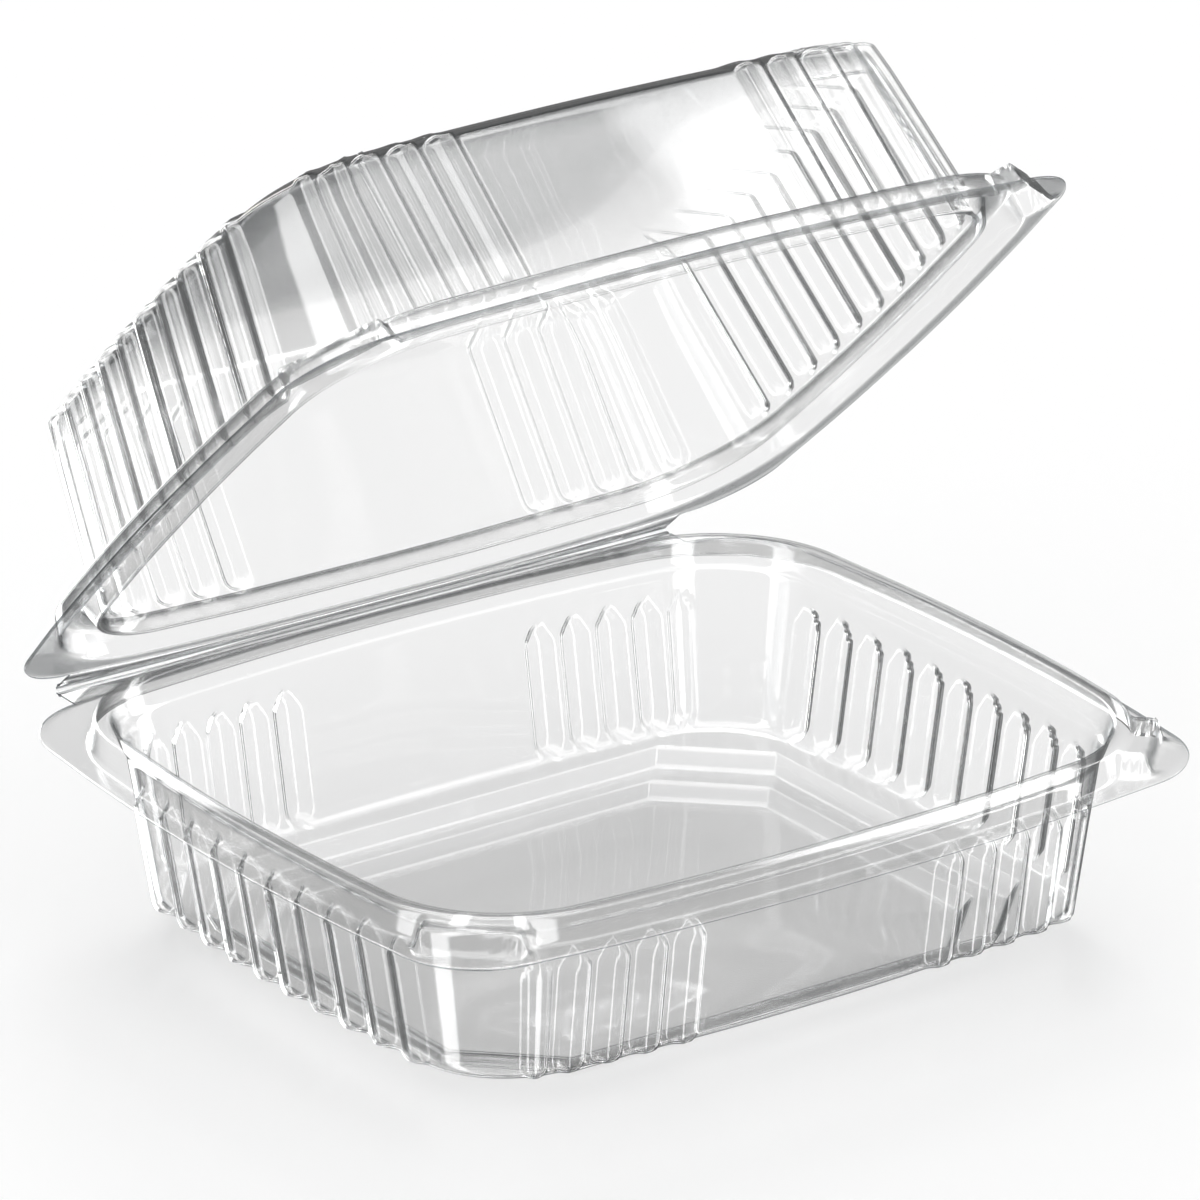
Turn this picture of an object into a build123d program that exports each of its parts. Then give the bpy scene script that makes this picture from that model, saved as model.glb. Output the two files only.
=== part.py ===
from build123d import *
import math
import os

# Hinged clear clamshell pack, thermoformed from one plastic sheet.
# mm, +Z up, the two feet of the tray on z = 0, X along the hinge, the hinge at +Y.
# The lid is drawn open; its joint value is 0 in this position.

# ---- overall sizes -------------------------------------------------------
width = 230.0          # rim flange, along the hinge
depth = 204.0          # rim flange, front to back
sheet = 0.5            # gauge of the formed sheet
tray_height = 49.0     # table to the upper face of the tray flange
dome_height = 60.0     # closed: flange to the crown of the lid
open_angle = 42.0      # how far the lid is drawn open

# ---- plan curve shared by tray and lid -----------------------------------
front_bow = 9.0        # how much the front and back edges bow out
side_bow = 8.0         # how much the left and right edges bow out
flange_corner = 24.0   # corner radius of the flange, leaves an ear at each corner
rim_margin = 6.0       # flange width along the straights
rim_corner = 40.0      # corner radius of the rim ridge
least_corner = 24.0    # the walls and the shoulder never turn tighter than this

# ---- rim ridge -----------------------------------------------------------
ridge_height = 6.5
ridge_top = 4.0
outer_slope = 1.6      # run of the outer ridge wall over its height
inner_slope = 2.6      # run of the inner ridge wall over its height
seat_gap = 0.35        # tray flange to lid flange, closed
nest_gap = 0.7         # sideways play of the lid channel over the ridge
plug_gap = 1.0         # play inside the ridge, where the lid swings closest
crest_gap = 0.7        # play above the ridge
lip_level = 1.6        # lid lip above the tray flange
lip_width = 1.4

# ---- walls ---------------------------------------------------------------
wall_ledge = 0.9
tray_draft = 9.0
lid_draft = 8.0
shoulder_height = 48.0  # lid wall height above its lip
shoulder_run = 12.0
shoulder_rise = 6.0
crown_run = 24.0
foot_round = 3.2        # bevel between tray wall and floor ring

# ---- flutes in the walls -------------------------------------------------
flute_half = 3.6        # half width at the wall
flute_proud = 2.6       # stands out of the wall by this much
flute_root = 1.0        # depth of its root inside the wall
flute_end = 3.0         # length of each sloped end
flute_top_drop = 7.0    # flute top below the ledge
flute_low = 2.6         # flute starts this far above the floor ring
flute_lift = 5.0        # lid flutes start this far above the lip
flute_top_tuck = 0.5    # and end this far below the shoulder
side_flutes = 10
side_pitch = 12.0
front_panel = 64.0      # plain panel in the tray's front and back walls
lid_panel = 78.0        # plain panel in the lid's front and back walls
cross_pitch = 10.2
tray_flutes = 5         # per side of the panel
lid_flutes = 5

# ---- floor ---------------------------------------------------------------
ring_width = 7.5
riser_one = 4.6
riser_two = 3.9
riser_slope = 1.2
tread = 8.0
floor_chamfer = 21.0

# ---- corner locks --------------------------------------------------------
lock_length = 27.0
lock_reach = 5.0
lock_height = 5.4
lock_taper = 1.4

# ---- hinge ---------------------------------------------------------------
hinge_length = 180.0
hinge_leaf = 3.4        # leaf beyond the flange at mid length
hinge_split = 0.45      # each leaf stops this far short of the crease

# ---- worked out ----------------------------------------------------------
flange_z = tray_height
ridge_z = flange_z + ridge_height
ring_z = riser_one + riser_two + sheet
lid_flange_z = flange_z + seat_gap
hinge_y = depth / 2 + hinge_leaf
hinge_z = flange_z + seat_gap / 2
lip_z = flange_z + lip_level
crown_z = flange_z + dome_height
ridge_out = rim_margin + outer_slope
ridge_in = ridge_out + ridge_top
well_in = ridge_in + inner_slope
tray_wall = well_in + wall_ledge
lip_inset = ridge_in + plug_gap + inner_slope * (1 - lip_level / ridge_height)


def plan_radii(bow, span):
    return (span * span / 4 + bow * bow) / (2 * bow)


def plan_corner(inset, corner, margin):
    """Front and side arcs of an inset outline and the fillet between them."""
    front_r = plan_radii(front_bow, width) - inset
    side_r = plan_radii(side_bow, depth) - inset
    fillet = max(corner - (inset - margin), least_corner)
    front_c = (0.0, front_r + inset - depth / 2)
    side_c = (width / 2 - side_r - inset, 0.0)
    gap = math.hypot(side_c[0] - front_c[0], side_c[1] - front_c[1])
    reach_a = front_r - fillet
    reach_b = side_r - fillet
    along = (reach_a ** 2 - reach_b ** 2 + gap ** 2) / (2 * gap)
    rise = math.sqrt(reach_a ** 2 - along ** 2)
    ux = (side_c[0] - front_c[0]) / gap
    uy = (side_c[1] - front_c[1]) / gap
    options = []
    for sign in (1, -1):
        x = front_c[0] + ux * along - uy * rise * sign
        y = front_c[1] + uy * along + ux * rise * sign
        options.append((x, y))
    centre = max(options, key=lambda p: p[0] - p[1])
    return front_c, front_r, side_c, side_r, centre, fillet


def plan_spot(facing, inset, corner=rim_corner, margin=rim_margin):
    """Point of the front right quarter whose outward direction is at this angle."""
    front_c, front_r, side_c, side_r, centre, fillet = plan_corner(inset, corner, margin)
    front_end = math.atan2(centre[1] - front_c[1], centre[0] - front_c[0])
    side_end = math.atan2(centre[1] - side_c[1], centre[0] - side_c[0])
    if facing <= front_end:
        hub, radius = front_c, front_r
    elif facing <= side_end:
        hub, radius = centre, fillet
    else:
        hub, radius = side_c, side_r
    return hub[0] + radius * math.cos(facing), hub[1] + radius * math.sin(facing)


def plan_points(inset, corner, margin):
    """Tangent points of the bowed outline and the middle of its fillet."""
    front_c, front_r, side_c, side_r, centre, fillet = plan_corner(inset, corner, margin)
    front_end = math.atan2(centre[1] - front_c[1], centre[0] - front_c[0])
    side_end = math.atan2(centre[1] - side_c[1], centre[0] - side_c[0])
    points = []
    for facing in (front_end, (front_end + side_end) / 2, side_end):
        points.append((centre[0] + fillet * math.cos(facing), centre[1] + fillet * math.sin(facing)))
    return points


def facing_at(travel, from_front):
    """Outward direction this far along the wall from the middle of a run."""
    front_c, front_r, side_c, side_r, centre, fillet = plan_corner(tray_wall, rim_corner, rim_margin)
    front_end = math.atan2(centre[1] - front_c[1], centre[0] - front_c[0])
    side_end = math.atan2(centre[1] - side_c[1], centre[0] - side_c[0])
    if from_front:
        turn = travel / front_r
        run = front_end + math.pi / 2
        if turn > run:
            turn = run + (travel - run * front_r) / fillet
        return turn - math.pi / 2
    turn = travel / side_r
    run = -side_end
    if turn > run:
        turn = run + (travel - run * side_r) / fillet
    return -turn


def outline(inset, z, corner=rim_corner, margin=rim_margin):
    """Closed bowed outline at height z, set in by a distance."""
    ta, tm, tb = plan_points(inset, corner, margin)
    front = (0.0, inset - depth / 2)
    side = (width / 2 - inset, 0.0)
    pts = [(-ta[0], ta[1]), front, ta, tm, tb, side,
           (tb[0], -tb[1]), (tm[0], -tm[1]), (ta[0], -ta[1]), (0.0, -front[1]),
           (-ta[0], -ta[1]), (-tm[0], -tm[1]), (-tb[0], -tb[1]), (-side[0], 0.0),
           (-tb[0], tb[1]), (-tm[0], tm[1]), (-ta[0], ta[1])]
    edges = []
    for i in range(0, 16, 2):
        a, b, c = [(p[0], p[1], z) for p in pts[i:i + 3]]
        edges.append(ThreePointArc(a, b, c))
    return Face(Wire(edges))


def tower(levels, corner=rim_corner, margin=rim_margin):
    """Solid through outlines given as (inset, z), ruled between them."""
    body = None
    for (inset_a, za), (inset_b, zb) in zip(levels[:-1], levels[1:]):
        if abs(za - zb) < 1e-6:
            continue
        if abs(inset_a - inset_b) < 1e-6:
            step = extrude(outline(inset_a, za, corner, margin), zb - za)
        else:
            step = loft([outline(inset_a, za, corner, margin),
                         outline(inset_b, zb, corner, margin)], ruled=True)
        body = step if body is None else body + step
    return body


def flute(a, b, out, skin):
    """Tapered bar from a to b, standing out of the wall towards out."""
    start = Vector(*a)
    run = (Vector(*b) - start)
    span = run.length
    axis = run.normalized()
    side = axis.cross(Vector(*out)).normalized()
    half = flute_half + skin
    proud = flute_proud + skin
    sections = []
    for travel, lift, narrow in ((-flute_end - skin, -flute_root, 0.45), (0.0, proud, 1.0),
                                 (span, proud, 1.0), (span + flute_end + skin, -flute_root, 0.45)):
        facing = side.cross(axis)
        centre = start + axis * travel
        pts = []
        for u, v in ((-1.0, -flute_root - 1.0), (-0.95, -flute_root), (-0.45, lift),
                     (0.45, lift), (0.95, -flute_root), (1.0, -flute_root - 1.0)):
            pts.append(centre + side * (u * half * narrow) + facing * v)
        if lift < 0:
            pts = [centre + side * (u * half * narrow) + facing * v for u, v in (
                (-1.0, -flute_root - 1.0), (-0.95, -flute_root - 0.4), (-0.45, -flute_root),
                (0.45, -flute_root), (0.95, -flute_root - 0.4), (1.0, -flute_root - 1.0))]
        sections.append(Face(Wire.make_polygon(pts, close=True)))
    return loft(sections, ruled=True)


def flutes(low, high, panel, count, skin):
    """All wall flutes between two (inset, z) levels."""
    facings = []
    for i in range(count):
        facings.append(facing_at(panel / 2 + (i + 0.5) * cross_pitch, True))
    for i in range(side_flutes // 2):
        facings.append(facing_at((i + 0.5) * side_pitch, False))
    parts = []
    for facing in facings:
        xa, ya = plan_spot(facing, low[0])
        xb, yb = plan_spot(facing, high[0])
        for sx in (-1, 1):
            for sy in (-1, 1):
                out = (math.cos(facing) * sx, math.sin(facing) * sy, 0)
                parts.append(flute((xa * sx, ya * sy, low[1]), (xb * sx, yb * sy, high[1]), out, skin))
    return parts


def floor_plate(half_x, half_y, z):
    """Chamfered rectangle of the floor at height z."""
    cut = floor_chamfer
    pts = [(-half_x + cut, -half_y, z), (half_x - cut, -half_y, z),
           (half_x, -half_y + cut, z), (half_x, half_y - cut, z),
           (half_x - cut, half_y, z), (-half_x + cut, half_y, z),
           (-half_x, half_y - cut, z), (-half_x, -half_y + cut, z)]
    return Face(Wire.make_polygon(pts, close=True))


def floor_pit(grow, z_top, z_low, half_x, half_y):
    """Sunken floor field with sloped sides; grow widens it for the under face."""
    spread = riser_slope / (z_top - z_low)
    top = floor_plate(half_x + grow + spread, half_y + grow + spread, z_top + 1.0)
    low = floor_plate(half_x + grow - riser_slope, half_y + grow - riser_slope, z_low)
    return loft([top, low], ruled=True)


def corner_block(grow, z_low, z_high, side):
    """Tapered lock block on a front rim corner, square to its diagonal."""
    ta, tm, tb = plan_points(rim_margin, rim_corner, rim_margin)
    spot = Plane(origin=(tm[0] * side, tm[1], 0), x_dir=(side, 1, 0), z_dir=(0, 0, 1))
    faces = []
    for z, trim in ((z_low, 0.0), (z_high, lock_taper)):
        half_l = lock_length / 2 + grow - trim
        half_r = lock_reach + grow - trim
        pts = [(-half_l, -half_r), (half_l, -half_r), (half_l, half_r), (-half_l, half_r)]
        world = [spot.from_local_coords(Vector(px, py, z)) for px, py in pts]
        faces.append(Face(Wire.make_polygon(world, close=True)))
    return loft(faces, ruled=True)


def slab(grow, z_low, z_high):
    """Flange blank with the hinge leaf, from z_low to z_high."""
    plate = tower([(-grow, z_low), (-grow, z_high)], flange_corner, 0.0)
    leaf_end = hinge_y - hinge_split + grow
    leaf = Pos(0, leaf_end / 2, (z_low + z_high) / 2) * Box(
        hinge_length + 2 * grow, leaf_end, z_high - z_low)
    return plate + leaf


def tray_side(skin, spill):
    """Everything under one face of the tray; skin is the step to the under face."""
    body = slab(spill, -10.0 - spill, flange_z - skin)
    body += tower([(rim_margin + skin, flange_z - 3.0), (rim_margin + skin, flange_z - skin),
                   (ridge_out + skin, ridge_z - skin)])
    for side in (-1, 1):
        body += corner_block(-skin, flange_z - 3.0, flange_z + lock_height - skin, side)
    body -= tower([(ridge_in - skin, ridge_z + 4.0 + spill), (ridge_in - skin, ridge_z),
                   (well_in - skin, flange_z), (well_in - skin, flange_z - skin)])
    wall_run = (flange_z - ring_z - foot_round) * math.tan(math.radians(tray_draft))
    wall_foot = tray_wall + wall_run
    body -= tower([(tray_wall - skin, flange_z + 2.0), (tray_wall - skin, flange_z),
                   (wall_foot - skin, ring_z + foot_round),
                   (wall_foot + foot_round - skin, ring_z - skin)])
    low_z = ring_z + flute_low
    high_z = flange_z - flute_top_drop - flute_end
    low_in = tray_wall + (flange_z - low_z) * math.tan(math.radians(tray_draft))
    high_in = tray_wall + (flange_z - high_z) * math.tan(math.radians(tray_draft))
    for bar in flutes((low_in, low_z), (high_in, high_z), front_panel, tray_flutes, skin):
        body -= bar
    half_x = width / 2 - wall_foot - foot_round - ring_width
    half_y = depth / 2 - wall_foot - foot_round - ring_width
    mid_z = ring_z - riser_one
    body -= floor_pit(skin, ring_z - skin, mid_z - skin, half_x, half_y)
    body -= floor_pit(skin, mid_z - skin, mid_z - riser_two - skin, half_x - tread, half_y - tread)
    return body


def lid_side(skin, spill):
    """Everything under one face of the closed lid; skin is zero for its under face."""
    body = slab(spill, flange_z - 15.0 - spill, lid_flange_z + skin)
    body += tower([(rim_margin - nest_gap - skin, flange_z - 3.0),
                   (rim_margin - nest_gap - skin, lid_flange_z + skin),
                   (ridge_out - nest_gap - skin, ridge_z + crest_gap + skin)])
    for side in (-1, 1):
        body += corner_block(nest_gap + skin, flange_z - 3.0,
                             flange_z + lock_height + crest_gap + skin, side)
    plug_top = ridge_in + plug_gap + skin
    lip_in = plug_top + inner_slope * (1 - lip_level / ridge_height)
    body -= tower([(plug_top, ridge_z + 6.0 + spill), (plug_top, ridge_z + crest_gap + skin),
                   (lip_in, lip_z + skin)])
    foot_in = lip_inset + sheet + lip_width + sheet - skin
    wall_run = shoulder_height * math.tan(math.radians(lid_draft))
    shoulder_z = lip_z + shoulder_height
    body += tower([(foot_in, lip_z - 4.0), (foot_in, lip_z + skin),
                   (foot_in + wall_run, shoulder_z + skin),
                   (foot_in + wall_run + shoulder_run, shoulder_z + shoulder_rise + skin),
                   (foot_in + wall_run + shoulder_run + crown_run, crown_z - sheet + skin)])
    low_z = lip_z + flute_lift + flute_end
    high_z = shoulder_z - flute_top_tuck
    draft = math.tan(math.radians(lid_draft))
    wall_in = lip_inset + 2 * sheet + lip_width
    low_in = wall_in + (low_z - lip_z) * draft
    high_in = wall_in + (high_z - lip_z) * draft
    for bar in flutes((low_in, low_z), (high_in, high_z), lid_panel, lid_flutes, skin):
        body += bar
    return body


def save(body, node):
    solids = body.solids()
    main = max(solids, key=lambda s: s.volume)
    export_step(main, "parts/" + node + ".step")
    box = main.bounding_box()
    print(node, len(solids), round(main.volume, 1), box.min, box.max, main.is_valid)


os.makedirs("parts", exist_ok=True)

tray = tray_side(0.0, 0.0) - tray_side(sheet, 3.0)
save(tray, "base_tray")

lid_shut = lid_side(sheet, 0.0) - lid_side(0.0, 3.0)
crease = Pos(0, hinge_y, hinge_z)
lid = crease * Rot(X=-open_angle) * Pos(0, -hinge_y, -hinge_z) * lid_shut
save(lid, "lid")
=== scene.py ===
"""A clear hinged clamshell food pack, standing open on its tray."""

import logging
import math
from dataclasses import dataclass
from enum import Enum
from typing import Any, Dict, List, Optional, Sequence, Tuple

import bpy
import numpy as np
from mathutils import Matrix, Vector

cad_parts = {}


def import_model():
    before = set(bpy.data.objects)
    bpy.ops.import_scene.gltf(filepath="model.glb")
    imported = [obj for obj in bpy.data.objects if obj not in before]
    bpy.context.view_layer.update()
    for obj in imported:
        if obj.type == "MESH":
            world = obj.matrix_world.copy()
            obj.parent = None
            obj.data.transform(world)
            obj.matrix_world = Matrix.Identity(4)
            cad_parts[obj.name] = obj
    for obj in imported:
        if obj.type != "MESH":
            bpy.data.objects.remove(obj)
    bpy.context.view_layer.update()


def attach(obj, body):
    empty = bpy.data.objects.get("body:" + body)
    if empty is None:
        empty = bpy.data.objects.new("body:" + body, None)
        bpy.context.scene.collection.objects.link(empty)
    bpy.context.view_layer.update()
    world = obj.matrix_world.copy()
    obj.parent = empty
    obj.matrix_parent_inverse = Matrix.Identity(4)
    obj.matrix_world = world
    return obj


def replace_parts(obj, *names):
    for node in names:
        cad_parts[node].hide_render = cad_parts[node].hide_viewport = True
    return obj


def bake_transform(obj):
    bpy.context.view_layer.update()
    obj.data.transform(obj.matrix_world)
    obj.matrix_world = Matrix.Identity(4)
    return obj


LOG = logging.getLogger("clamshell")
MM = 0.001


class Outline(Enum):
    """Which plan outline a station of the sheet follows."""

    FLANGE = "flange"
    RIM = "rim"


class Side(Enum):
    """Left and right half of the pack."""

    LEFT = -1
    RIGHT = 1


def linear(code: str) -> Tuple[float, float, float, float]:
    """Turns an sRGB hex colour into a linear one.

    Args:
        code: Colour such as "#F4F6F6".

    Returns:
        Linear red, green, blue and an alpha of 1.
    """
    parts = [int(code[i:i + 2], 16) / 255 for i in (1, 3, 5)]
    red, green, blue = [c / 12.92 if c <= 0.04045 else ((c + 0.055) / 1.055) ** 2.4 for c in parts]
    return red, green, blue, 1.0


def add(tree: Any, kind: str, settings: Optional[Dict[Any, Any]] = None,
        links: Optional[Dict[Any, Any]] = None) -> Any:
    """Adds one node with its settings and links.

    Args:
        tree: Node tree that gets the node.
        kind: Type name of the node.
        settings: Properties by name, and input values by socket name or number.
        links: Output sockets by the input they feed.

    Returns:
        The new node.
    """
    node = tree.nodes.new(kind)
    for key, value in (settings or {}).items():
        if isinstance(key, str) and hasattr(node, key):
            setattr(node, key, value)
        else:
            node.inputs[key].default_value = value
    for key, source in (links or {}).items():
        tree.links.new(source, node.inputs[key])
    return node


@dataclass(frozen=True)
class ClearSheet:
    """Clear PET sheet, extruded and thermoformed: see-through, bright at its bends, with painted grey shade
    where it is seen edge on.
    """

    name: str = "clear PET thermoformed sheet"
    ior: float = 1.57
    roughness: float = 0.03
    face_tint: str = "#FDFDFD"
    # painted shade: the grey the sheet turns when seen edge on
    grazing_shade_tint: str = "#9DA1A3"
    edge_start: float = 0.58
    shadow_share: float = 0.35

    def material(self) -> Any:
        """Builds the see-through material.

        Returns:
            The material.
        """
        made = bpy.data.materials.new(self.name)
        made.use_nodes = True
        tree = made.node_tree
        tree.nodes.clear()
        # both faces of the sheet mirror alike, also where the ray leaves it
        back = add(tree, "ShaderNodeNewGeometry")
        index = add(tree, "ShaderNodeMapRange", {"To Min": self.ior, "To Max": 1 / self.ior},
                    {"Value": back.outputs["Backfacing"]})
        mirror = add(tree, "ShaderNodeFresnel", {}, {"IOR": index.outputs["Result"]})
        # seen edge on, a little more plastic is in the way, but most of this grey is painted shade by angle
        # of view, standing in for the light the see-through shader doesn't bend, so bends and ribs draw grey
        # lines
        tilt = add(tree, "ShaderNodeLayerWeight", {"Blend": 0.5})
        grazing_shade_share = add(tree, "ShaderNodeMapRange",
                    {"interpolation_type": "SMOOTHSTEP", "From Min": self.edge_start, "From Max": 1.0},
                    {"Value": tilt.outputs["Facing"]})
        tint_with_grazing_shade = add(tree, "ShaderNodeMix",
                   {"data_type": "RGBA", 6: linear(self.face_tint), 7: linear(self.grazing_shade_tint)},
                   {0: grazing_shade_share.outputs["Result"]})
        clear = add(tree, "ShaderNodeBsdfTransparent", {}, {"Color": tint_with_grazing_shade.outputs[2]})
        shine = add(tree, "ShaderNodeBsdfGlossy", {"Roughness": self.roughness})
        # light that the sheet mirrors away still reaches the floor nearby, so its shadow stays pale
        path = add(tree, "ShaderNodeLightPath")
        weight = add(tree, "ShaderNodeMapRange", {"To Min": 1.0, "To Max": self.shadow_share},
                     {"Value": path.outputs["Is Shadow Ray"]})
        part = add(tree, "ShaderNodeMath", {"operation": "MULTIPLY"},
                   {0: mirror.outputs["Fac"], 1: weight.outputs["Result"]})
        both = add(tree, "ShaderNodeMixShader", {},
                   {0: part.outputs["Value"], 1: clear.outputs["BSDF"], 2: shine.outputs["BSDF"]})
        add(tree, "ShaderNodeOutputMaterial", {}, {"Surface": both.outputs["Shader"]})
        return made


@dataclass(frozen=True)
class CutEdge:
    """Die-cut edge of the clear PET sheet: light piped along the sheet makes it a thin grey line."""

    name: str = "clear PET sheet, cut edge"
    tint: str = "#B4B8BA"
    roughness: float = 0.25
    shine: float = 0.12

    def material(self) -> Any:
        """Builds the grey edge material.

        Returns:
            The material.
        """
        made = bpy.data.materials.new(self.name)
        made.use_nodes = True
        tree = made.node_tree
        tree.nodes.clear()
        clear = add(tree, "ShaderNodeBsdfTransparent", {"Color": linear(self.tint)})
        shine = add(tree, "ShaderNodeBsdfGlossy", {"Roughness": self.roughness})
        both = add(tree, "ShaderNodeMixShader", {0: self.shine},
                   {1: clear.outputs["BSDF"], 2: shine.outputs["BSDF"]})
        add(tree, "ShaderNodeOutputMaterial", {}, {"Surface": both.outputs["Shader"]})
        return made


@dataclass(frozen=True)
class PlanCurve:
    """Bowed rectangle with round corners that every level of the pack follows, in mm."""

    width: float = 230.0
    depth: float = 204.0
    front_bow: float = 9.0
    side_bow: float = 8.0
    flange_corner: float = 24.0
    rim_margin: float = 6.0
    rim_corner: float = 40.0
    least_corner: float = 24.0
    wall_inset: float = 15.1

    def arcs(self, inset: float, kind: Outline) -> Tuple[Tuple[float, float], float, Tuple[float, float],
                                                        float, Tuple[float, float], float]:
        """Finds the arcs of one quarter of an outline.

        Args:
            inset: Distance in from the widest outline.
            kind: Outline that is followed.

        Returns:
            Centre and radius of the front, side and corner arcs.
        """
        corner, margin = self.rim_corner, self.rim_margin
        if kind is Outline.FLANGE:
            corner, margin = self.flange_corner, 0.0
        front_r = (self.width ** 2 / 4 + self.front_bow ** 2) / (2 * self.front_bow) - inset
        side_r = (self.depth ** 2 / 4 + self.side_bow ** 2) / (2 * self.side_bow) - inset
        fillet = max(corner - (inset - margin), self.least_corner)
        front = (0.0, front_r + inset - self.depth / 2)
        side = (self.width / 2 - side_r - inset, 0.0)
        gap = math.hypot(side[0] - front[0], side[1] - front[1])
        along = ((front_r - fillet) ** 2 - (side_r - fillet) ** 2 + gap ** 2) / (2 * gap)
        rise = math.sqrt((front_r - fillet) ** 2 - along ** 2)
        step_x = (side[0] - front[0]) / gap
        step_y = (side[1] - front[1]) / gap
        options = [(front[0] + step_x * along - step_y * rise * sign,
                    front[1] + step_y * along + step_x * rise * sign) for sign in (1, -1)]
        centre = max(options, key=lambda p: p[0] - p[1])
        return front, front_r, side, side_r, centre, fillet

    def ends(self, inset: float, kind: Outline) -> Tuple[float, float]:
        """Gives the outward directions at which the corner arc starts and ends."""
        front, _, side, _, centre, _ = self.arcs(inset, kind)
        return (math.atan2(centre[1] - front[1], centre[0] - front[0]),
                math.atan2(centre[1] - side[1], centre[0] - side[0]))

    def facing(self, travel: float, from_front: bool) -> float:
        """Gives the outward direction at a distance along the wall.

        Args:
            travel: Distance from the middle of the run.
            from_front: True for the front run, False for the side run.

        Returns:
            Angle of the outward direction.
        """
        _, front_r, _, side_r, _, fillet = self.arcs(self.wall_inset, Outline.RIM)
        front_end, side_end = self.ends(self.wall_inset, Outline.RIM)
        radius, run = (front_r, front_end + math.pi / 2) if from_front else (side_r, -side_end)
        turn = travel / radius
        if turn > run:
            turn = run + (travel - run * radius) / fillet
        return turn - math.pi / 2 if from_front else -turn

    def quarter(self, facings: np.ndarray, inset: float, kind: Outline) -> np.ndarray:
        """Finds points of the front right quarter.

        Args:
            facings: Outward directions.
            inset: Distance in from the widest outline.
            kind: Outline that is followed.

        Returns:
            One x, y row for each direction.
        """
        front, front_r, side, side_r, centre, fillet = self.arcs(inset, kind)
        front_end, side_end = self.ends(inset, kind)
        in_front = facings <= front_end
        in_side = facings > side_end
        hub_x = np.where(in_front, front[0], np.where(in_side, side[0], centre[0]))
        hub_y = np.where(in_front, front[1], np.where(in_side, side[1], centre[1]))
        radius = np.where(in_front, front_r, np.where(in_side, side_r, fillet))
        return np.stack([hub_x + radius * np.cos(facings), hub_y + radius * np.sin(facings)], 1)

    def corner_middle(self) -> Tuple[float, float]:
        """Gives the middle of the rim's front right corner."""
        ends = self.ends(self.rim_margin, Outline.RIM)
        spot = self.quarter(np.array([sum(ends) / 2]), self.rim_margin, Outline.RIM)[0]
        return float(spot[0]), float(spot[1])


@dataclass(frozen=True)
class Station:
    """One level of the sheet: how far in, how high, and which outline, in mm."""

    inset: float
    height: float
    kind: Outline = Outline.RIM


@dataclass(frozen=True)
class Flutes:
    """Upright flutes pressed out of the walls, in mm."""

    panel: float
    low: float
    high: float
    top_run: float
    count: int = 5
    cross_pitch: float = 10.2
    side_pitch: float = 12.0
    half: float = 4.1
    crown: float = 0.42
    proud: float = 3.1

    def fronts(self) -> List[float]:
        """Gives the distances of the front flutes from the middle of the front run."""
        return [self.panel / 2 + (i + 0.5) * self.cross_pitch for i in range(self.count)]

    def sides(self) -> List[float]:
        """Gives the distances of the side flutes from the middle of the side run."""
        return [(i + 0.5) * self.side_pitch for i in range(self.count)]

    def press(self, off: np.ndarray, height: float) -> np.ndarray:
        """Finds how far the sheet is pressed out at one height.

        Args:
            off: Distance to the nearest flute's middle line.
            height: Height of the level.

        Returns:
            Share of the full depth, from 0 to 1.
        """
        # a round bulb at the foot and a pointed pocket at the head
        below = max(self.low - height, 0.0)
        above = max(height - self.high, 0.0)
        spread = np.hypot(off, below) / self.half + above / self.top_run
        share = np.clip((1 - spread) / (1 - self.crown), 0, 1)
        return share * share * (3 - 2 * share)


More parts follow.
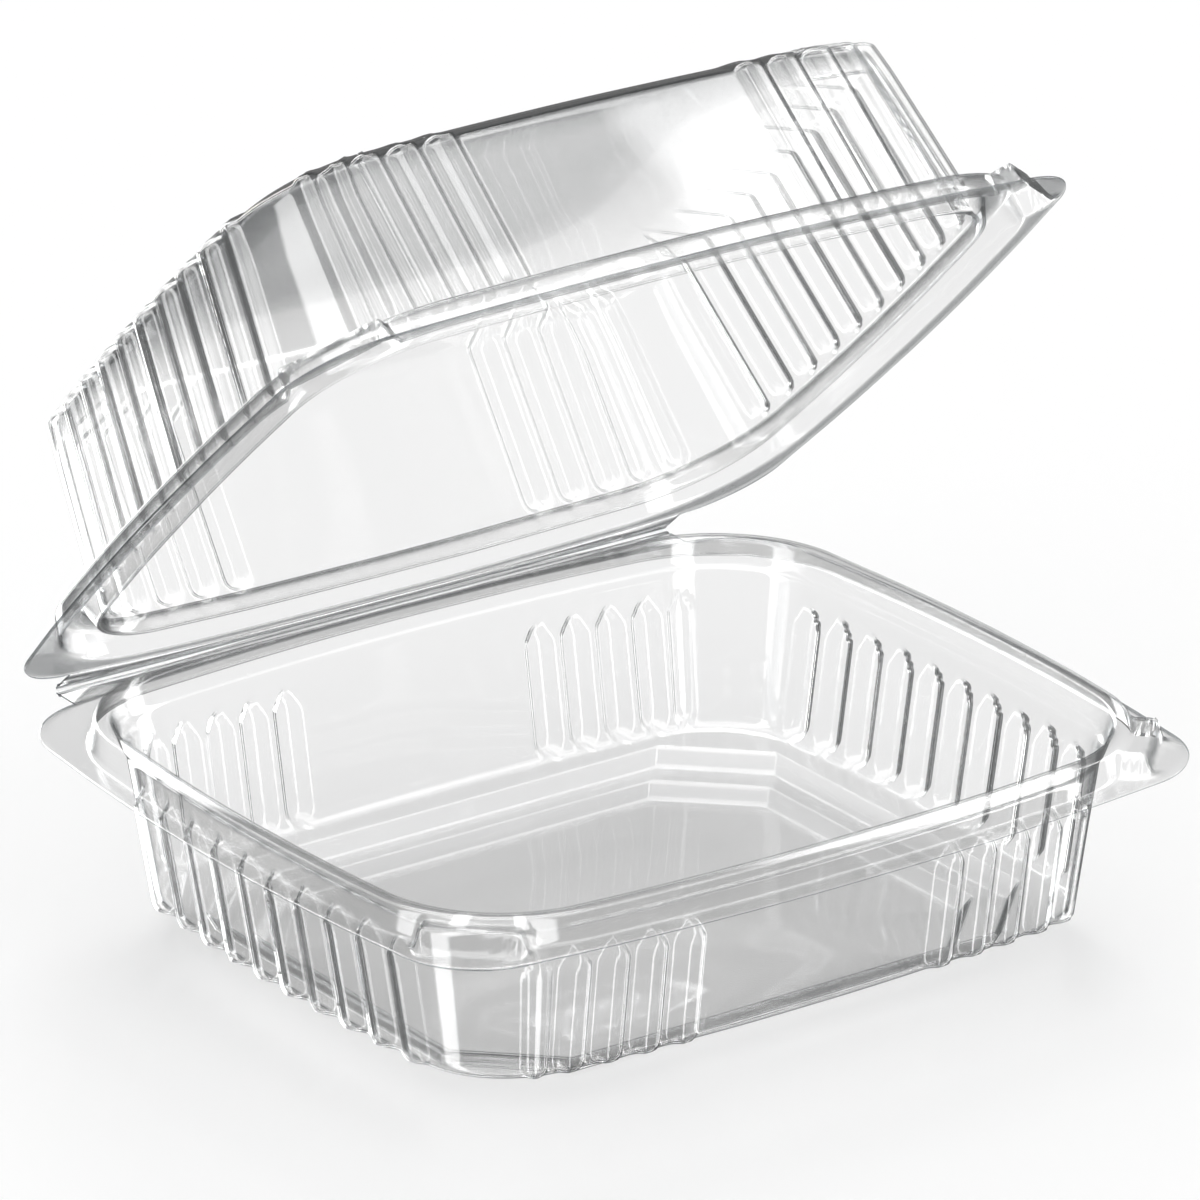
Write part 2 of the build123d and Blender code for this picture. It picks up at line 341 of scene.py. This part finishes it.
@dataclass
class PressTree:
    """Geometry Nodes tree that presses the flutes out of a plain sheet."""

    wave_height: float = 0.22 * MM
    waves_per_metre: float = 34.0

    def __post_init__(self) -> None:
        """Builds the tree with its named inputs."""
        tree = bpy.data.node_groups.new("press flutes", "GeometryNodeTree")
        face = tree.interface
        face.new_socket("Sheet", in_out="INPUT", socket_type="NodeSocketGeometry")
        self.sockets = {}
        for name, kind in (("Flute Depth", "NodeSocketFloat"), ("Wave Height", "NodeSocketFloat"),
                           ("Waves Per Metre", "NodeSocketFloat"), ("Finish", "NodeSocketMaterial")):
            self.sockets[name] = face.new_socket(name, in_out="INPUT", socket_type=kind).identifier
        face.new_socket("Formed", in_out="OUTPUT", socket_type="NodeSocketGeometry")
        given = add(tree, "NodeGroupInput")
        share = add(tree, "GeometryNodeInputNamedAttribute", {"data_type": "FLOAT", "Name": "flute"})
        out = add(tree, "GeometryNodeInputNamedAttribute", {"data_type": "FLOAT_VECTOR", "Name": "outward"})
        reach = add(tree, "ShaderNodeMath", {"operation": "MULTIPLY"},
                    {0: share.outputs["Attribute"], 1: given.outputs["Flute Depth"]})
        push = add(tree, "ShaderNodeVectorMath", {"operation": "SCALE"},
                   {"Vector": out.outputs["Attribute"], "Scale": reach.outputs["Value"]})
        # the forming leaves a faint waviness, so that no highlight is quite straight
        noise = add(tree, "ShaderNodeTexNoise", {"Detail": 0.0}, {"Scale": given.outputs["Waves Per Metre"]})
        centred = add(tree, "ShaderNodeMath", {"operation": "SUBTRACT", 1: 0.5}, {0: noise.outputs[0]})
        swell = add(tree, "ShaderNodeMath", {"operation": "MULTIPLY"},
                    {0: centred.outputs["Value"], 1: given.outputs["Wave Height"]})
        normal = add(tree, "GeometryNodeInputNormal")
        drift = add(tree, "ShaderNodeVectorMath", {"operation": "SCALE"},
                    {"Vector": normal.outputs["Normal"], "Scale": swell.outputs["Value"]})
        both = add(tree, "ShaderNodeVectorMath", {"operation": "ADD"},
                   {0: push.outputs["Vector"], 1: drift.outputs["Vector"]})
        move = add(tree, "GeometryNodeSetPosition", {},
                   {"Geometry": given.outputs["Sheet"], "Offset": both.outputs["Vector"]})
        smooth = add(tree, "GeometryNodeSetShadeSmooth", {}, {"Geometry": move.outputs["Geometry"]})
        real = add(tree, "GeometryNodeRealizeInstances", {}, {"Geometry": smooth.outputs["Geometry"]})
        dress = add(tree, "GeometryNodeSetMaterial", {},
                    {"Geometry": real.outputs["Geometry"], "Material": given.outputs["Finish"]})
        add(tree, "NodeGroupOutput", {}, {"Formed": dress.outputs["Geometry"]})
        self.tree = tree

    def form(self, piece: Any, depth: float, finish: Any, edge: Any, gauge: float) -> Any:
        """Presses the flutes, gives the sheet its gauge and makes the mesh plain.

        Args:
            piece: Object with the plain sheet.
            depth: Flute depth in metres.
            finish: Material of the sheet.
            edge: Material of its cut edge.
            gauge: Thickness of the sheet in metres.

        Returns:
            The same object with a plain closed mesh.
        """
        piece.data.materials.append(finish)
        piece.data.materials.append(edge)
        press = piece.modifiers.new("flutes", "NODES")
        press.node_group = self.tree
        press[self.sockets["Flute Depth"]] = depth
        press[self.sockets["Wave Height"]] = self.wave_height
        press[self.sockets["Waves Per Metre"]] = self.waves_per_metre
        press[self.sockets["Finish"]] = finish
        shell = piece.modifiers.new("gauge", "SOLIDIFY")
        shell.thickness = gauge
        shell.offset = -1.0
        shell.use_even_offset = False
        shell.material_offset_rim = 1
        graph = bpy.context.evaluated_depsgraph_get()
        mesh = bpy.data.meshes.new_from_object(piece.evaluated_get(graph))
        piece.modifiers.clear()
        piece.data = mesh
        return piece


@dataclass
class SheetGrid:
    """Builds rings of the formed sheet from the rim inwards, in mm."""

    plan: PlanCurve
    flutes: Flutes
    fine: float = 1.05
    coarse: float = 3.0
    corner_gap: float = 0.01

    def __post_init__(self) -> None:
        """Chooses the outward directions at which every ring has its points."""
        front_end, side_end = self.plan.ends(self.plan.wall_inset, Outline.RIM)
        middle = (front_end + side_end) / 2
        facings, offs = [], []
        travel = 0.0
        while self.plan.facing(travel, True) < middle:
            facings.append(self.plan.facing(travel, True))
            offs.append(min(abs(travel - s) for s in self.flutes.fronts()))
            travel += self.coarse if travel + self.coarse < self.flutes.panel / 2 else self.fine
        tail, tail_offs = [], []
        travel = 0.0
        while self.plan.facing(travel, False) > middle + self.corner_gap:
            tail.append(self.plan.facing(travel, False))
            tail_offs.append(min(abs(travel - s) for s in self.flutes.sides()))
            travel += self.fine
        self.facings = np.array(facings + tail[::-1])
        self.offs = np.array(offs + tail_offs[::-1])
        self.points: List[np.ndarray] = []
        self.press: List[np.ndarray] = []

    def unfold(self, quarter: np.ndarray, flip: bool) -> np.ndarray:
        """Mirrors one quarter into the full ring.

        Args:
            quarter: Values from the front middle to the right middle.
            flip: True where rows hold x and y, which change sign.

        Returns:
            Values all the way round, anticlockwise from the front middle.
        """
        signs = [np.array(s) if flip else 1.0 for s in ((1, 1), (1, -1), (-1, -1), (-1, 1))]
        return np.concatenate([quarter * signs[0], quarter[-2::-1] * signs[1],
                               quarter[1:] * signs[2], quarter[-2:0:-1] * signs[3]])

    def outward(self) -> np.ndarray:
        """Gives the outward direction of every ring point."""
        return self.unfold(np.stack([np.cos(self.facings), np.sin(self.facings)], 1), True)

    def flat_ring(self, inset: float, kind: Outline) -> np.ndarray:
        """Gives the x and y of one full ring."""
        return self.unfold(self.plan.quarter(self.facings, inset, kind), True)

    def push(self, flat: np.ndarray, height: Any, press: Optional[np.ndarray] = None) -> None:
        """Adds one ring to the sheet.

        Args:
            flat: x and y of the ring.
            height: One height, or one for every point.
            press: Share of the flute depth at every point.
        """
        heights = np.broadcast_to(np.asarray(height, float), (len(flat),))
        self.points.append(np.column_stack([flat, heights]))
        self.press.append(np.zeros(len(flat)) if press is None else press)

    def mesh(self, name: str, leaf: Sequence[Tuple[float, float]], leaf_half: float) -> Any:
        """Joins the rings, closes the middle and adds the hinge leaf.

        Args:
            name: Name of the object.
            leaf: y and height of each row of the hinge leaf.
            leaf_half: Half the length of the leaf along the hinge.

        Returns:
            The object, with the flute share and outward direction on its points.
        """
        count = len(self.points[0])
        coords = list(np.concatenate(self.points))
        press = list(np.concatenate(self.press))
        faces = []
        around = np.arange(count)
        following = np.roll(around, -1)
        for ring in range(len(self.points) - 1):
            low, high = ring * count, (ring + 1) * count
            faces.append(np.stack([around + low, following + low, following + high, around + high], 1))
        quads = [tuple(int(v) for v in q) for q in np.concatenate(faces)]
        # the middle is closed by a fan round one point
        hub = len(coords)
        last = self.points[-1]
        coords.append(last.mean(axis=0))
        press.append(0.0)
        base = (len(self.points) - 1) * count
        fan = [(base + i, base + int(following[i]), hub) for i in range(count)]
        # the hinge leaf grows out of the back edge
        edge = self.points[0]
        back = [i for i in range(count) if edge[i][1] > 0 and abs(edge[i][0]) <= leaf_half]
        rows = [back]
        for y, height in leaf:
            start = len(coords)
            for i in back:
                coords.append(np.array([edge[i][0], y, height]))
                press.append(0.0)
            rows.append([start + k for k in range(len(back))])
        for near, far in zip(rows[:-1], rows[1:]):
            for k in range(len(back) - 1):
                quads.append((near[k + 1], near[k], far[k], far[k + 1]))
        data = bpy.data.meshes.new(name)
        data.from_pydata([tuple(c * MM) for c in coords], [], quads + fan)
        share = data.attributes.new("flute", "FLOAT", "POINT")
        share.data.foreach_set("value", np.array(press, dtype=np.float32))
        ways = np.zeros((len(coords), 3), dtype=np.float32)
        ways[:count * len(self.points), :2] = np.tile(self.outward(), (len(self.points), 1))
        out = data.attributes.new("outward", "FLOAT_VECTOR", "POINT")
        out.data.foreach_set("vector", ways.ravel())
        data.update()
        piece = bpy.data.objects.new(name, data)
        bpy.context.scene.collection.objects.link(piece)
        return piece


@dataclass
class CornerLock:
    """Raised block on a front corner of the rim, in mm."""

    plan: PlanCurve
    half_length: float = 13.5
    reach: float = 5.0
    rise: float = 5.4
    taper: float = 1.8

    def lift(self, flat: np.ndarray) -> np.ndarray:
        """Finds how high the two blocks stand above the flange.

        Args:
            flat: x and y of the points.

        Returns:
            Height above the flange, 0 away from the blocks.
        """
        spot = self.plan.corner_middle()
        total = np.zeros(len(flat))
        for side in Side:
            off = flat - np.array([spot[0] * side.value, spot[1]])
            along = np.abs(off @ np.array([side.value, 1.0])) / math.sqrt(2)
            out = off @ np.array([side.value, -1.0]) / math.sqrt(2)
            ends = np.clip((self.half_length - along) / self.taper, 0, 1)
            front = np.clip((self.reach - out) / self.taper, 0, 1)
            total = np.maximum(total, np.where(flat[:, 1] < 0, ends * front, 0.0))
        share = total * total * (3 - 2 * total)
        return share * self.rise


@dataclass
class FloorPlate:
    """Chamfered rectangle of the tray floor, in mm."""

    half_x: float
    half_y: float
    cut: float = 21.0

    def corners(self, grow: float) -> np.ndarray:
        """Gives the eight corners, anticlockwise from the front right."""
        x, y, c = self.half_x + grow, self.half_y + grow, self.cut
        return np.array([(x - c, -y), (x, c - y), (x, y - c), (x - c, y),
                         (c - x, y), (-x, y - c), (-x, c - y), (c - x, -y)])

    def split(self, flat: np.ndarray) -> Tuple[np.ndarray, np.ndarray]:
        """Finds where each ring point falls on the rectangle.

        Args:
            flat: x and y of a ring.

        Returns:
            Side number and share of the way along it, for every point.
        """
        corners = self.corners(0.0)
        turns = np.mod(np.arctan2(corners[:, 1], corners[:, 0]) + math.pi / 2, 2 * math.pi)
        turn = np.mod(np.arctan2(flat[:, 1], flat[:, 0]) + math.pi / 2, 2 * math.pi)
        side = np.mod(np.searchsorted(turns, turn, side="right") - 1, 8)
        start = corners[side]
        edge = corners[(side + 1) % 8] - start
        share = -(start[:, 0] * flat[:, 1] - start[:, 1] * flat[:, 0]) / (
            edge[:, 0] * flat[:, 1] - edge[:, 1] * flat[:, 0])
        for k in range(8):
            nearest = int(np.argmin(np.abs(turn - turns[k])))
            side[nearest] = k
            share[nearest] = 0.0
        return side, np.clip(share, 0, 1)

    def ring(self, side: np.ndarray, share: np.ndarray, grow: float) -> np.ndarray:
        """Gives the ring of points on the rectangle grown by a distance."""
        corners = self.corners(grow)
        start = corners[side]
        return start + (corners[(side + 1) % 8] - start) * share[:, None]


@dataclass
class Hinge:
    """Crease along the back, in mm."""

    y: float = 105.4
    z: float = 49.175
    split: float = 0.45
    half_length: float = 90.0
    open_angle: float = 42.0
    # the pressed line: where it starts, is full, is still full and ends, from the end of the leaf
    line: Tuple[float, float, float, float] = (1.9, 1.6, 1.1, 0.8)

    def swing(self) -> Matrix:
        """Gives the turn from the shut lid to the lid as drawn."""
        spot = Vector((0.0, self.y * MM, self.z * MM))
        return (Matrix.Translation(spot) @ Matrix.Rotation(-math.radians(self.open_angle), 4, "X")
                @ Matrix.Translation(-spot))

    def leaf(self, level: float, bead: float) -> List[Tuple[float, float]]:
        """Gives y and height of the leaf's rows, with one pressed line along it."""
        end = self.y - self.split
        heights = (level, level + bead, level + bead, level)
        return [(end - back, height) for back, height in zip(self.line, heights)] + [(end, level)]


@dataclass
class Tray:
    """Fluted tray with a raised rim, two corner locks and a stepped floor, in mm."""

    plan: PlanCurve
    hinge: Hinge
    gauge: float = 0.48
    flange: float = 49.0
    rim_top: float = 55.5
    draft: float = 9.0
    ring_level: float = 9.0
    foot_round: float = 3.2
    ring_width: float = 7.5
    riser_one: float = 4.6
    riser_two: float = 3.9
    riser_slope: float = 1.2
    tread: float = 8.0
    # shares of the way across the flange: closest where the lock blocks rise
    flange_steps: Tuple[float, ...] = (0.0, 0.03, 0.25, 0.45, 0.56, 0.62, 0.68, 0.74, 0.8, 0.9, 1.0)
    # heights of the wall's levels: closest at the heads and feet of the flutes
    wall_levels: Tuple[float, ...] = (48.4, 46.5, 44.2, 43.2, 42.2, 41.2, 40.2, 39.2, 38.2, 37.2, 36.2,
                                      32.0, 26.0, 20.0, 16.5, 15.0, 14.0, 13.1, 12.2)
    # rounding at the head and foot of each riser: how far out, and how far from its level
    riser_head: Tuple[Tuple[float, float], ...] = ((1.0, 0.0), (0.45, 0.12), (0.1, 0.55), (-0.05, 1.0))
    riser_foot: Tuple[Tuple[float, float], ...] = ((0.05, 1.0), (-0.1, 0.5), (-0.5, 0.1), (-1.1, 0.0))
    field_scales: Tuple[float, ...] = (0.7, 0.35)
    edge_dip: float = 0.12
    flange_end: float = 5.4
    lock_inset: float = 9.0
    foot_turns: Tuple[float, ...] = (0.2, 0.4, 0.6, 0.8, 1.0)
    leaf_bead: float = -0.3

    def rim(self) -> List[Station]:
        """Lists the levels from the flange over the raised rim to the wall."""
        top, low = self.rim_top, self.flange
        return [Station(6.0, low + 0.15), Station(6.25, low + 1.0), Station(7.25, top - 0.9),
                Station(7.6, top - 0.3), Station(8.2, top), Station(11.0, top),
                Station(11.7, top - 0.3), Station(12.1, top - 0.9), Station(13.7, low + 1.3),
                Station(14.1, low + 0.4), Station(14.6, low + 0.05)]

    def build(self, press: PressTree, finish: Any, edge: Any) -> Any:
        """Builds the tray.

        Args:
            press: Tree that presses the flutes.
            finish: Material of the sheet.
            edge: Material of its cut edge.

        Returns:
            The finished piece.
        """
        flutes = Flutes(panel=64.0, low=13.0, high=38.0, top_run=6.5)
        grid = SheetGrid(self.plan, flutes)
        lock = CornerLock(self.plan)
        outer = grid.flat_ring(0.0, Outline.FLANGE)
        inner = grid.flat_ring(self.flange_end, Outline.RIM)
        for share in self.flange_steps:
            flat = outer + (inner - outer) * share
            dip = self.edge_dip if share == 0.0 else 0.0
            grid.push(flat, self.flange - dip + lock.lift(flat))
        for level in self.rim():
            flat = grid.flat_ring(level.inset, level.kind)
            height = np.full(len(flat), level.height)
            if level.inset < self.lock_inset:
                height = np.maximum(height, self.flange + lock.lift(flat))
            grid.push(flat, height)
        lean = math.tan(math.radians(self.draft))
        offs = grid.unfold(grid.offs, False)
        for z in self.wall_levels:
            inset = self.plan.wall_inset + (self.flange - z) * lean
            grid.push(grid.flat_ring(inset, Outline.RIM), z, flutes.press(offs, z))
        foot = self.plan.wall_inset + (self.flange - self.ring_level - self.foot_round) * lean
        for turn in self.foot_turns:
            swing = turn * math.pi / 2
            z = self.ring_level + self.foot_round * (1 - math.sin(swing))
            inset = foot + self.foot_round * (1 - math.cos(swing))
            grid.push(grid.flat_ring(inset, Outline.RIM), z, flutes.press(offs, z))
        last = foot + self.foot_round
        plate = FloorPlate(self.plan.width / 2 - last - self.ring_width,
                           self.plan.depth / 2 - last - self.ring_width)
        side, share = plate.split(grid.flat_ring(last, Outline.RIM))
        step = self.ring_level
        grow = 0.0
        for drop in (self.riser_one, self.riser_two):
            for out, down in self.riser_head:
                grid.push(plate.ring(side, share, grow + out), step - down)
            for out, down in self.riser_foot:
                grid.push(plate.ring(side, share, grow - self.riser_slope + out), step - drop + down)
            step -= drop
            grow -= self.tread
        field = plate.ring(side, share, grow + self.tread - self.riser_slope + self.riser_foot[-1][0])
        for scale in self.field_scales:
            grid.push(field * scale, step)
        leaf = self.hinge.leaf(self.flange, self.leaf_bead)
        piece = grid.mesh("tray_sheet", leaf, self.hinge.half_length)
        return press.form(piece, flutes.proud * MM, finish, edge, self.gauge * MM)


@dataclass
class Lid:
    """Domed fluted lid with a channel that drops over the tray's rim, drawn open, in mm."""

    plan: PlanCurve
    hinge: Hinge
    gauge: float = 0.48
    flange: float = 49.85
    channel_top: float = 56.7
    lip: float = 51.1
    wall_start: float = 16.46
    draft: float = 8.0
    shoulder: float = 99.1
    crown: float = 109.0
    # shares of the way across the flange: closest where the lock pockets rise
    flange_steps: Tuple[float, ...] = (0.0, 0.03, 0.2, 0.36, 0.46, 0.52, 0.58, 0.64, 0.72, 0.86, 1.0)
    # heights of the wall's levels: closest at the heads and feet of the flutes
    wall_levels: Tuple[float, ...] = (51.8, 53.5, 55.0, 56.0, 57.0, 58.0, 59.5, 62.0, 68.0, 76.0, 84.0,
                                      91.0, 95.0, 97.0, 98.3)
    # the shoulder and the crown: how far in from the head of the wall, and how high
    dome: Tuple[Tuple[float, float], ...] = (
        (0.1, 99.0), (0.5, 99.5), (1.2, 100.0), (2.4, 100.6), (4.2, 101.4), (6.2, 102.4), (8.4, 103.5),
        (10.8, 104.6), (12.4, 105.2), (15.0, 105.8), (21.0, 107.0), (28.0, 108.1), (33.0, 108.7),
        (36.0, 109.0))
    field_scales: Tuple[float, ...] = (0.75, 0.4)
    edge_dip: float = 0.12
    flange_end: float = 4.3
    lock_inset: float = 8.0
    leaf_bead: float = 0.3

    def rim(self) -> List[Station]:
        """Lists the levels over the channel to the foot of the wall."""
        top, low = self.channel_top, self.flange
        return [Station(4.8, low + 0.15), Station(5.0, low + 0.9), Station(6.1, top - 0.9),
                Station(6.4, top - 0.3), Station(7.0, top), Station(12.4, top),
                Station(13.1, top - 0.3), Station(13.45, top - 0.9), Station(14.7, self.lip + 1.2),
                Station(15.0, self.lip + 0.3), Station(15.5, self.lip), Station(16.2, self.lip + 0.15)]

    def build(self, press: PressTree, finish: Any, edge: Any) -> Any:
        """Builds the lid and swings it open.

        Args:
            press: Tree that presses the flutes.
            finish: Material of the sheet.
            edge: Material of its cut edge.

        Returns:
            The finished piece.
        """
        flutes = Flutes(panel=78.0, low=59.0, high=100.0, top_run=6.0)
        grid = SheetGrid(self.plan, flutes)
        lock = CornerLock(self.plan, half_length=14.7, reach=6.2, rise=5.8)
        outer = grid.flat_ring(0.0, Outline.FLANGE)
        inner = grid.flat_ring(self.flange_end, Outline.RIM)
        for share in self.flange_steps:
            flat = outer + (inner - outer) * share
            dip = self.edge_dip if share == 0.0 else 0.0
            grid.push(flat, self.flange - dip + lock.lift(flat))
        for level in self.rim():
            flat = grid.flat_ring(level.inset, level.kind)
            height = np.full(len(flat), level.height)
            if level.inset < self.lock_inset:
                height = np.maximum(height, self.flange + lock.lift(flat))
            grid.push(flat, height)
        lean = math.tan(math.radians(self.draft))
        offs = grid.unfold(grid.offs, False)
        for z in self.wall_levels:
            grid.push(grid.flat_ring(self.wall_start + (z - self.lip) * lean, Outline.RIM), z,
                      flutes.press(offs, z))
        top = self.wall_start + (self.shoulder - self.lip) * lean
        for step, z in self.dome:
            grid.push(grid.flat_ring(top + step, Outline.RIM), z, flutes.press(offs, z))
        field = grid.flat_ring(top + self.dome[-1][0], Outline.RIM)
        for scale in self.field_scales:
            grid.push(field * scale, self.crown)
        leaf = self.hinge.leaf(self.flange, self.leaf_bead)
        piece = grid.mesh("lid_sheet", leaf, self.hinge.half_length)
        press.form(piece, flutes.proud * MM, finish, edge, self.gauge * MM)
        piece.data.transform(self.hinge.swing())
        return piece


@dataclass
class HingeFilm:
    """Thin film of the same sheet that bends between the two leaves, in mm."""

    hinge: Hinge
    gauge: float = 0.2
    overlap: float = 0.8
    tray_level: float = 48.76
    lid_level: float = 49.6
    bulge: Tuple[float, float] = (0.714, 0.17)
    side_gap: float = 0.3
    bends: int = 13
    steps: int = 60

    def build(self, finish: Any) -> Any:
        """Builds the film as a thin bent band.

        Args:
            finish: Material of the sheet.

        Returns:
            The finished piece.
        """
        crease = np.array([self.hinge.y, self.hinge.z])
        end = self.hinge.split + self.overlap
        turn = math.radians(self.hinge.open_angle)
        on_tray = np.array([-end, self.tray_level - self.hinge.z])
        shut = np.array([-end, self.lid_level - self.hinge.z])
        on_lid = np.array([shut[0] * math.cos(turn) + shut[1] * math.sin(turn),
                           -shut[0] * math.sin(turn) + shut[1] * math.cos(turn)])
        # the band runs in a smooth curve behind the crease, pulled towards the bulge
        t = np.linspace(0, 1, self.bends)[:, None]
        line = on_tray * (1 - t) ** 2 + 2 * t * (1 - t) * np.array(self.bulge) + on_lid * t ** 2
        run = np.gradient(line, axis=0)
        normal = np.column_stack([-run[:, 1], run[:, 0]]) / np.linalg.norm(run, axis=1)[:, None]
        skin = normal * self.gauge / 2
        loop = np.concatenate([line + skin, (line - skin)[::-1]]) + crease
        size = len(loop)
        coords, faces = [], []
        half = self.hinge.half_length - self.side_gap
        for x in np.linspace(-half, half, self.steps + 1):
            coords.extend((x * MM, y * MM, z * MM) for y, z in loop)
        for i in range(self.steps):
            for k in range(size):
                a, b = i * size + k, i * size + (k + 1) % size
                faces.append((a, b, b + size, a + size))
        faces.append(tuple(range(size))[::-1])
        faces.append(tuple(range(self.steps * size, (self.steps + 1) * size)))
        data = bpy.data.meshes.new("hinge film")
        data.from_pydata(coords, [], faces)
        data.materials.append(finish)
        data.update()
        piece = bpy.data.objects.new("hinge_film", data)
        bpy.context.scene.collection.objects.link(piece)
        return piece

    def ends(self) -> Tuple[Tuple[float, float, float], Tuple[float, float, float]]:
        """Gives the points where the bend starts and ends, in metres."""
        turn = math.radians(self.hinge.open_angle)
        y, z = -self.hinge.split, self.lid_level - self.hinge.z
        lid = (self.hinge.y + y * math.cos(turn) + z * math.sin(turn),
               self.hinge.z - y * math.sin(turn) + z * math.cos(turn))
        return ((0.0, (self.hinge.y - self.hinge.split) * MM, self.tray_level * MM),
                (0.0, lid[0] * MM, lid[1] * MM))


@dataclass
class Studio:
    """Pale floor, soft light and the view."""

    place: Tuple[float, float, float] = (-1.27589, -1.84529, 0.9786)
    yaw: float = 34.6
    pitch: float = -21.71
    roll: float = -0.66
    lens: float = 306.3
    sky: float = 0.765
    mirror_dark: float = 0.25
    mirror_panel: float = 5.5
    mirror_roof: float = 2.4
    panels: float = 4.0
    panel_turn: float = 2.27

    def floor(self) -> None:
        """Lays the pale floor."""
        bpy.ops.mesh.primitive_plane_add(size=24.0, location=(0.0, 0.0, -0.0004))
        floor = bpy.context.active_object
        floor.name = "studio floor"
        paint = bpy.data.materials.new("matt white studio paper")
        paint.use_nodes = True
        tree = paint.node_tree
        tree.nodes.clear()
        matt = add(tree, "ShaderNodeBsdfDiffuse", {"Color": linear("#FCFCFC")})
        add(tree, "ShaderNodeOutputMaterial", {}, {"Surface": matt.outputs["BSDF"]})
        floor.data.materials.append(paint)
        # mirrors see the bright panels below the horizon too, not the blank floor
        floor.visible_glossy = False

    def surroundings(self) -> None:
        """Lights the scene from all round, with a darker low band that only mirrors show."""
        world = bpy.data.worlds.new("soft studio")
        bpy.context.scene.world = world
        world.use_nodes = True
        tree = world.node_tree
        tree.nodes.clear()
        path = add(tree, "ShaderNodeLightPath")
        ray = add(tree, "ShaderNodeNewGeometry")
        split = add(tree, "ShaderNodeSeparateXYZ", {}, {"Vector": ray.outputs["Incoming"]})
        # upright bright panels stand all round, so that every flute and bead carries a long highlight
        turn = add(tree, "ShaderNodeMath", {"operation": "ARCTAN2"},
                   {0: split.outputs["Y"], 1: split.outputs["X"]})
        phase = add(tree, "ShaderNodeMath", {"operation": "MULTIPLY_ADD", 1: self.panels, 2: self.panel_turn},
                    {0: turn.outputs["Value"]})
        swell = add(tree, "ShaderNodeMath", {"operation": "SINE"}, {0: phase.outputs["Value"]})
        upright = add(tree, "ShaderNodeMapRange",
                      {"interpolation_type": "SMOOTHSTEP", "From Min": 0.70, "From Max": 0.88,
                       "To Min": self.mirror_dark, "To Max": self.mirror_panel},
                      {"Value": swell.outputs["Value"]})
        # one wide panel overhead lights everything that lies flat
        roof = add(tree, "ShaderNodeMapRange",
                   {"interpolation_type": "SMOOTHSTEP", "From Min": -0.62, "From Max": -0.8,
                    "To Max": self.mirror_roof}, {"Value": split.outputs["Z"]})
        level = add(tree, "ShaderNodeMath", {"operation": "MAXIMUM"},
                    {0: upright.outputs["Result"], 1: roof.outputs["Result"]})
        even = add(tree, "ShaderNodeBackground", {"Strength": self.sky})
        glint = add(tree, "ShaderNodeBackground", {}, {"Strength": level.outputs["Value"]})
        both = add(tree, "ShaderNodeMixShader", {},
                   {0: path.outputs["Is Glossy Ray"], 1: even.outputs["Background"],
                    2: glint.outputs["Background"]})
        for node in (even, glint):
            node.inputs["Color"].default_value = (1.0, 1.0, 1.0, 1.0)
        add(tree, "ShaderNodeOutputWorld", {}, {"Surface": both.outputs["Shader"]})

    def lamp(self, name: str, azimuth: float, elevation: float, strength: float, spread: float) -> None:
        """Adds one soft far lamp.

        Args:
            name: Name of the lamp.
            azimuth: Direction it stands in, in degrees from +X towards +Y.
            elevation: Height over the floor in degrees.
            strength: Strength of the lamp.
            spread: Apparent width in degrees.
        """
        light = bpy.data.lights.new(name, "SUN")
        light.energy = strength
        light.angle = math.radians(spread)
        lamp = bpy.data.objects.new(name, light)
        a, e = math.radians(azimuth), math.radians(elevation)
        way = Vector((math.cos(a) * math.cos(e), math.sin(a) * math.cos(e), math.sin(e)))
        lamp.rotation_euler = way.to_track_quat("Z", "Y").to_euler()
        bpy.context.scene.collection.objects.link(lamp)

    def camera(self) -> None:
        """Sets the view."""
        data = bpy.data.cameras.new("camera")
        data.sensor_width = 36.0
        data.lens = self.lens
        data.clip_end = 100.0
        eye = bpy.data.objects.new("camera", data)
        yaw, pitch, roll = (math.radians(a) for a in (self.yaw, self.pitch, self.roll))
        ahead = Vector((math.sin(yaw) * math.cos(pitch), math.cos(yaw) * math.cos(pitch), math.sin(pitch)))
        right = Vector((math.cos(yaw), -math.sin(yaw), 0.0))
        over = right.cross(ahead)
        right_r = right * math.cos(roll) + over * math.sin(roll)
        over_r = over * math.cos(roll) - right * math.sin(roll)
        turn = Matrix((right_r, over_r, -ahead)).transposed()
        eye.matrix_world = Matrix.Translation(Vector(self.place)) @ turn.to_4x4()
        bpy.context.scene.collection.objects.link(eye)
        bpy.context.scene.camera = eye

    def build(self) -> None:
        """Sets up floor, light, view and how rays pass the many layers of sheet."""
        self.floor()
        self.surroundings()
        self.lamp("key lamp", 60.0, 52.0, 0.85, 24.0)
        self.lamp("fill lamp", 200.0, 48.0, 0.22, 34.0)
        self.camera()
        scene = bpy.context.scene
        scene.view_settings.view_transform = "Standard"
        scene.cycles.transparent_max_bounces = 48
        scene.cycles.max_bounces = 5
        scene.cycles.glossy_bounces = 3
        scene.cycles.diffuse_bounces = 1


def main() -> None:
    """Builds the pack and its studio in order."""
    logging.basicConfig(level=logging.INFO, format="%(message)s")
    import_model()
    plan = PlanCurve()
    hinge = Hinge()
    press = PressTree()
    finish = ClearSheet().material()
    edge = CutEdge().material()
    tray = Tray(plan, hinge).build(press, finish, edge)
    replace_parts(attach(tray, "tray"), "base_tray")
    LOG.info("%s: %d faces", tray.name, len(tray.data.polygons))
    lid = Lid(plan, hinge).build(press, finish, edge)
    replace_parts(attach(lid, "lid"), "lid")
    LOG.info("%s: %d faces", lid.name, len(lid.data.polygons))
    maker = HingeFilm(hinge)
    film = maker.build(finish)
    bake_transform(film)
    LOG.info("%s: %d faces", film.name, len(film.data.polygons))
    Studio().build()


if __name__ == "__main__":
    main()
